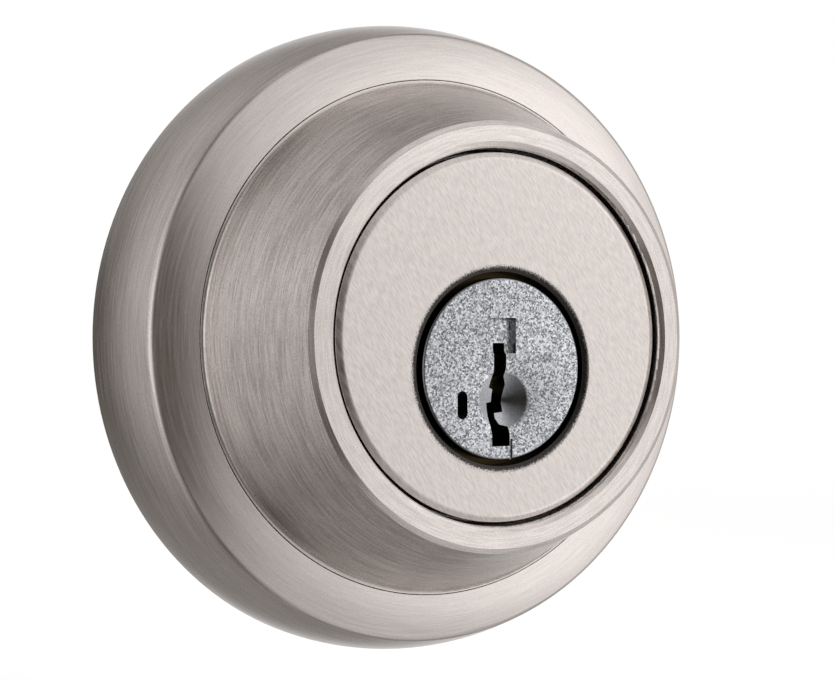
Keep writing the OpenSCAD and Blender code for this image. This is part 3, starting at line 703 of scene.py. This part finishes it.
# %% Finishes by slot
finishes = {
    "rose_satin": rose_finish, "collar_satin": collar_finish, "plate_satin": plate_finish,
    "plug_zinc": plug_finish, "cast_zinc": cast_zinc, "carrier_zinc": carrier_zinc,
    "cylinder_brass": cylinder_brass, "pin_brass": pin_brass, "bar_brass": bar_brass,
    "plate_steel": plate_steel, "blade_steel": blade_steel, "screw_steel": screw_steel,
    "spring_steel": spring_steel, "rack_steel": rack_steel, "hard_steel": hard_steel,
    "gasket_foam": gasket_foam, "adapter_plastic": adapter_plastic,
}
slots = {name: node.data.materials[0].name.split(".")[0] for name, node in nodes.items()}
for name, node in nodes.items():
    node.data.materials.clear()
    node.data.materials.append(finishes[slots[name]])
print(len(nodes), "nodes have", len(set(slots.values())), "finishes")

# %% [markdown]
# ## Tools for modelling by hand
# The pieces that follow are modelled with Blender's own operators. Round ones start as
# an outline: a plane is merged to a single point, and the point is extruded from corner to
# corner. Spun round an axis the outline is a turned piece, and drawn along a screw line it is
# a thread or a spring. Everything is deselected first, because an operator acts on all that
# is selected.

# %% Modelling helpers
def deselect():
    bpy.ops.object.select_all(action="DESELECT")


def edit(piece):
    """Opens one piece in edit mode with its whole mesh selected."""
    deselect()
    piece.select_set(True)
    bpy.context.view_layer.objects.active = piece
    bpy.ops.object.mode_set(mode="EDIT")
    bpy.ops.mesh.select_all(action="SELECT")


weld_distance = 0.0005 * MM


def close(weld=weld_distance):
    """Merges doubles, turns the faces outwards and leaves edit mode."""
    bpy.ops.mesh.select_all(action="SELECT")
    bpy.ops.mesh.remove_doubles(threshold=weld)
    bpy.ops.mesh.normals_make_consistent(inside=False)
    bpy.ops.object.mode_set(mode="OBJECT")


def outline(name, corners):
    """An outline in the XY plane, extruded from corner to corner and left in edit mode."""
    deselect()
    bpy.ops.mesh.primitive_plane_add(size=MM)
    piece = bpy.context.object
    piece.name = piece.data.name = name
    edit(piece)
    bpy.ops.mesh.merge(type="CENTER")
    corners = [Vector((x, y, 0)) for x, y in corners]
    bpy.ops.transform.translate(value=corners[0])
    for here, there in zip(corners, corners[1:]):
        bpy.ops.mesh.extrude_region_move(TRANSFORM_OT_translate={"value": there - here})
    bpy.ops.mesh.select_all(action="SELECT")
    return piece


def turned(name, corners, steps):
    """A closed outline of (radius, depth) corners, spun round the Y axis."""
    piece = outline(name, corners)
    bpy.ops.mesh.spin(steps=steps, angle=2 * pi, center=(0, 0, 0), axis=(0, 1, 0))
    close()
    return piece


def apply_modifier(piece, kind, **settings):
    """Adds a modifier to a piece and applies it."""
    deselect()
    piece.select_set(True)
    bpy.context.view_layer.objects.active = piece
    modifier = piece.modifiers.new(kind.lower(), kind)
    for setting, value in settings.items():
        setattr(modifier, setting, value)
    bpy.ops.object.modifier_apply(modifier=modifier.name)


coil_steps, most_sides = 24, 12


def wind(piece, pitch, turns):
    """Draws a section along a screw line round the Y axis and closes both ends."""
    bpy.ops.object.mode_set(mode="OBJECT")
    apply_modifier(piece, "SCREW", axis="Y", screw_offset=pitch, iterations=turns,
                   steps=coil_steps, render_steps=coil_steps, use_smooth_shade=True)
    edit(piece)
    bpy.ops.mesh.fill_holes(sides=most_sides)
    close(0)


def settle(piece, place, turn=(0, 0, 0)):
    """Turns a piece, moves it to its place and applies both to its mesh."""
    deselect()
    piece.select_set(True)
    bpy.context.view_layer.objects.active = piece
    piece.rotation_euler = turn
    piece.location = place
    bpy.ops.object.transform_apply(location=True, rotation=True, scale=True)
    return piece


def copied(piece, name):
    """Another piece of the same shape, with its own mesh."""
    twin = bpy.data.objects.new(name, piece.data.copy())
    scene.collection.objects.link(twin)
    return twin


def joined(name, *parts):
    """Several parts as one piece."""
    deselect()
    for part in parts:
        part.select_set(True)
    bpy.context.view_layer.objects.active = parts[0]
    bpy.ops.object.join()
    parts[0].name = parts[0].data.name = name
    return parts[0]


def stands_for(piece, node, body, angle=40):
    """Finishes a piece that replaces a CAD node: shading, material by the node's slot, and body.
    """
    deselect()
    piece.select_set(True)
    bpy.context.view_layer.objects.active = piece
    bpy.ops.object.shade_smooth_by_angle(angle=radians(angle))
    piece.data.materials.clear()
    piece.data.materials.append(finishes[slots[node]])
    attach(piece, body)
    print(piece.name, "has", len(piece.data.polygons), "faces")


print("the modelling helpers are ready")

# %% [markdown]
# ## The rose
# The rose is a round cap, and its shoulder catches a long highlight that would show any facet.
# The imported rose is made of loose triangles, so it is turned again here from the same corners,
# with ten steps round each bend and even rings of quads, which shade cleanly. A point close to
# each end of a bend holds the flat beside it flat. Each corner is a radius, a height over the
# door and the radius of its bend, in millimetres.

# %% Rose
bend_steps, hold = 10, 0.05


def rounded(corners):
    """Replaces each corner that has a bend by its arc, with a holding point on either side."""
    points = []
    for number, (radius, height, bend) in enumerate(corners):
        corner = Vector((radius, height))
        if not bend:
            points.append(corner)
            continue
        before = (Vector(corners[number - 1][:2]) - corner).normalized()
        after = (Vector(corners[(number + 1) % len(corners)][:2]) - corner).normalized()
        # the arc's centre lies on the line that halves the corner
        half = before.angle(after) / 2
        centre = corner + (before + after).normalized() * bend / sin(half)
        reach = bend * cos(half) / sin(half)
        start, end = corner + before * reach - centre, corner + after * reach - centre
        points.append(corner + before * (reach + hold))
        for step in range(bend_steps + 1):
            points.append(centre + start.slerp(end, step / bend_steps).normalized() * bend)
        points.append(corner + after * (reach + hold))
    return points


low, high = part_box("rose")
rose_r, rose_front = high.x / MM, -low.y / MM
shoulder_r, opening_r, inner_r = rose_r - 2.1, rose_r - 6.9, rose_r - 4.2
crown_r, foot_r = shoulder_r - 2.4, inner_r + 1.05
side_h, shoulder_h, crown_h, front_h, lip_h, foot_h = 5, 10.7, 11.4, 11.7, 9, 5.2
side_bend, shoulder_bend, crown_bend = 24.68, 0.9, 21.0
outer_corners = [(rose_r, 0, 0.3), (rose_r, side_h, side_bend),
                 (shoulder_r, shoulder_h, shoulder_bend), (crown_r, crown_h, crown_bend)]
inner_corners = [(opening_r, front_h, 0.08), (opening_r, lip_h, 0), (inner_r, lip_h, 0.5),
                 (inner_r, foot_h, 0), (foot_r, foot_h, 0), (foot_r, 0, 0)]
rose_line = [(radius * MM, -height * MM)
             for radius, height in rounded(outer_corners + inner_corners)]
turned_rose = turned("turned_rose", rose_line + rose_line[:1], steps=192)
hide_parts("rose")
stands_for(turned_rose, "rose", "lock")
print("the rose stands", round(rose_front, 2), "mm off the door")

# %% [markdown]
# ## The foam gasket
# The gasket is a flat ring die cut from foam, and it lies between the flange and the door. Its
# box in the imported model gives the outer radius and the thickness. The outline has four
# corners, the spin makes the ring, and a bevel softens the cut edges, because foam gives way
# under the die.

# %% Gasket
low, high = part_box("door_gasket")
gasket_r, gasket_w, soft_edge = (high.x - low.x) / 2, 2.2 * MM, 0.25 * MM
gasket_hole_r = gasket_r - gasket_w
gasket = turned("foam_gasket", [
    (gasket_hole_r, low.y), (gasket_r, low.y), (gasket_r, high.y),
    (gasket_hole_r, high.y), (gasket_hole_r, low.y)], steps=128)
apply_modifier(gasket, "BEVEL", width=soft_edge, segments=3, limit_method="ANGLE")
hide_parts("door_gasket")
stands_for(gasket, "door_gasket", "lock")

# %% [markdown]
# ## Threads
# A thread is a triangular ridge on a screw line. On the retainer's screws it stands out of the
# shank, and in the posts behind the door it stands into the tapped holes, so one function
# makes both: the ridge's tip lies outside its root for a screw and inside it for a hole.

# %% Threads
def thread(name, root_r, tip_r, pitch, length):
    """A ridge that winds round the Y axis from the origin, a little narrower than its pitch."""
    half = 0.42 * pitch
    piece = outline(name, [(root_r, 0), (tip_r, half), (root_r, 2 * half), (root_r, 0)])
    bpy.ops.mesh.remove_doubles(threshold=weld_distance)
    wind(piece, pitch, int((length - 2 * half) / pitch))
    return piece


post_spacing, tapped_r, tapped_depth = 28.6 * MM, 1.73 * MM, 13.6 * MM
coarse_pitch, coarse_height = 0.79 * MM, 0.24 * MM
post_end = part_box("chassis")[1].y - 0.2 * MM
post_thread = thread("post_thread_right", tapped_r, tapped_r - coarse_height, coarse_pitch,
                     tapped_depth)
for twin, side in ((post_thread, 1), (copied(post_thread, "post_thread_left"), -1)):
    settle(twin, (side * post_spacing / 2, post_end - tapped_depth, plug_z))
    stands_for(twin, "chassis", "lock")

# %% [markdown]
# ## The retainer's screws
# Two pan head screws hold the steel retainer behind the cylinder. Each is turned from one
# outline, whose head is a flattened dome. The cross recess is cut by two tapered blades, of
# which the second lies a hair deeper so that their faces don't coincide, and the thread is
# wound round the shank and joined to it.

# %% Retainer screws
low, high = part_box("retainer_screws")
head_r, head_h = (high.z - low.z) / 2, 1.2 * MM
shank_r, thread_r, fine_pitch, thread_l = 0.98 * MM, 1.2 * MM, 0.45 * MM, 5.0 * MM
tip_r, tip_h, under_head = 0.35 * MM, 0.6 * MM, high.y - head_h
side_power, top_power, dome_steps = 0.35, 0.8, 8
dome = []
for step in range(dome_steps + 1):
    rise = pi / 2 * step / dome_steps
    dome.append((head_r * cos(rise) ** side_power, under_head + head_h * sin(rise) ** top_power))
screw_corners = [(0, low.y), (tip_r, low.y), (shank_r, low.y + tip_h), (shank_r, under_head)]
screw = turned("screw", screw_corners + dome[:-1] + [(0, high.y)], steps=48)


cross_size, cross_taper = (2.3 * MM, 1.6 * MM, 0.45 * MM), (0.45, 1, 0.7)


def tapered_blade(turn, sunk):
    """A wedge that cuts one arm of a cross recess."""
    deselect()
    bpy.ops.mesh.primitive_cube_add(size=1)
    wedge = bpy.context.object
    edit(wedge)
    bpy.ops.transform.resize(value=cross_size)
    bpy.ops.mesh.select_all(action="DESELECT")
    bpy.ops.object.mode_set(mode="OBJECT")
    for vertex in wedge.data.vertices:
        vertex.select = vertex.co.y < 0
    bpy.ops.object.mode_set(mode="EDIT")
    bpy.ops.transform.resize(value=cross_taper, center_override=(0, 0, 0))
    bpy.ops.object.mode_set(mode="OBJECT")
    return settle(wedge, (0, high.y - sunk, 0), (0, turn, 0))


for turn, sunk in ((0, 0), (pi / 2, 0.03 * MM)):
    wedge = tapered_blade(turn, sunk)
    apply_modifier(screw, "BOOLEAN", operation="DIFFERENCE", object=wedge)
    bpy.data.objects.remove(wedge)
ridge = thread("screw_thread", shank_r - 0.02 * MM, thread_r, fine_pitch, thread_l)
settle(ridge, (0, low.y + tip_h, 0))
screw = joined("screw", screw, ridge)
screw_x, screw_z = high.x - head_r, (low.z + high.z) / 2
left_screw = settle(copied(screw, "left_screw"), (-screw_x, 0, screw_z), (0, radians(25), 0))
right_screw = settle(screw, (screw_x, 0, screw_z), (0, radians(-12), 0))
screws = joined("pan_head_screws", right_screw, left_screw)
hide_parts("retainer_screws")
stands_for(screws, "retainer_screws", "lock", 30)

# %% [markdown]
# ## Springs
# Every spring in the plug is a coil of round wire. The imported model's coils have six sided
# wire and open ends. These have ten sides, and one closed turn at each end, as a spring that
# stands on its end has: the wire is wound evenly first, and then each ring of the wire is slid
# along the axis to where its turn belongs.

# %% Springs
wire, wire_sides = 0.25 * MM, 10
closed_pitch = 1.02 * wire


def spring(node, axis, turns):
    """A spring with closed ends that fills a node's box, its axis along X, Y or Z."""
    low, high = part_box(node)
    way = "XYZ".index(axis)
    length = high[way] - low[way]
    radius = min(high[side] - low[side] for side in range(3) if side != way) / 2
    deselect()
    bpy.ops.mesh.primitive_circle_add(vertices=wire_sides, radius=wire / 2)
    piece = bpy.context.object
    piece.name = piece.data.name = node + "_coil"
    edit(piece)
    bpy.ops.transform.translate(value=(radius - wire / 2, wire / 2, 0))
    wind(piece, closed_pitch, turns)
    open_pitch = (length - wire - 2 * closed_pitch) / (turns - 2)
    # the points are numbered ring by ring along the wire
    for number, vertex in enumerate(piece.data.vertices):
        turn = number // wire_sides / coil_steps
        opened = min(max(turn - 1, 0), turns - 2)
        vertex.co.y += opened * (open_pitch - closed_pitch)
    return piece, low, high


def placed(piece, axis, place):
    """Turns a spring that was wound along Y to another axis and moves it to its place."""
    turn = {"X": (0, 0, -pi / 2), "Y": (0, 0, 0), "Z": (pi / 2, 0, 0)}[axis]
    return settle(piece, place, turn)


for number in range(1, 6):
    node = "pin_spring_%d" % number
    piece, low, high = spring(node, "Z", 8)
    middle = (low + high) / 2
    placed(piece, "Z", (middle.x, middle.y, low.z))
    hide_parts(node)
    stands_for(piece, node, "plug")
    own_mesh(piece)

# %% The carrier's and the bar's springs
piece, low, high = spring("carrier_spring", "Y", 8)
middle = (low + high) / 2
placed(piece, "Y", (middle.x, low.y, middle.z))
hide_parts("carrier_spring")
stands_for(piece, "carrier_spring", "plug")
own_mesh(piece)

first, low, high = spring("bar_springs", "X", 5)
bar_spring_r = (high.z - low.z) / 2
second = copied(first, "second")
for piece, y in ((first, low.y + bar_spring_r), (second, high.y - bar_spring_r)):
    placed(piece, "X", (low.x, y, (low.z + high.z) / 2))
bar_coils = joined("bar_spring_coils", first, second)
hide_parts("bar_springs")
stands_for(bar_coils, "bar_springs", "carrier")

# %% [markdown]
# ## The plug's front
# Two forms on the plug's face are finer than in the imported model. The recess at the top of
# the keyway is cast with walls that lean, and the keyway's top is shifted inside it to stay in
# line with the rest. The scoop is a countersink with straight walls. So this piece is a merged
# copy of the plug, in which the points of the recess's floor are moved, and the points that
# lie on the scoop's ball are set on a cone of the same rim and nearly the same depth.

# %% Plug front
def merged_copy(node, name):
    """A copy of a CAD node with its loose triangles merged and its stored normals cleared."""
    piece = copied(nodes[node], name)
    edit(piece)
    bpy.ops.mesh.customdata_custom_splitnormals_clear()
    bpy.ops.mesh.remove_doubles(threshold=weld_distance)
    bpy.ops.object.mode_set(mode="OBJECT")
    return piece


plug_front = merged_copy("plug", "plug_trimmed")
recess_floor, recess_w, recess_low = plug_low.y + 0.8 * MM, 2 * MM, plug_z + 1.4 * MM
keyway_left, keyway_right = -1.2 * MM, 0.4 * MM
wall_lean, keyway_shift = 0.2 * MM, 0.45 * MM
ball = Vector((scoop_x, plug_low.y - 3.85 * MM, scoop_z))
ball_r, scoop_deep = 4.85 * MM, 0.95 * MM
near_floor, near_ball = 0.005 * MM, 0.02 * MM
moved = {"recess": 0, "scoop": 0}
for vertex in plug_front.data.vertices:
    x, y, z = vertex.co
    near_top = z > recess_low and abs(x) < recess_w
    if near_top and abs(y - recess_floor) < near_floor:
        on_keyway = keyway_left < x < keyway_right
        vertex.co.x += keyway_shift if on_keyway else (-wall_lean if x > 0 else 0)
        vertex.co.z -= wall_lean if z > 0 else 0
        moved["recess"] += 1
    elif not near_top and abs((vertex.co - ball).length - ball_r) < near_ball:
        share = hypot(x - ball.x, z - ball.z) / scoop_r
        vertex.co.y = plug_low.y + scoop_deep * max(1 - share, 0)
        moved["scoop"] += 1
print("points moved:", moved)
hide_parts("plug")
stands_for(plug_front, "plug", "plug", 30)
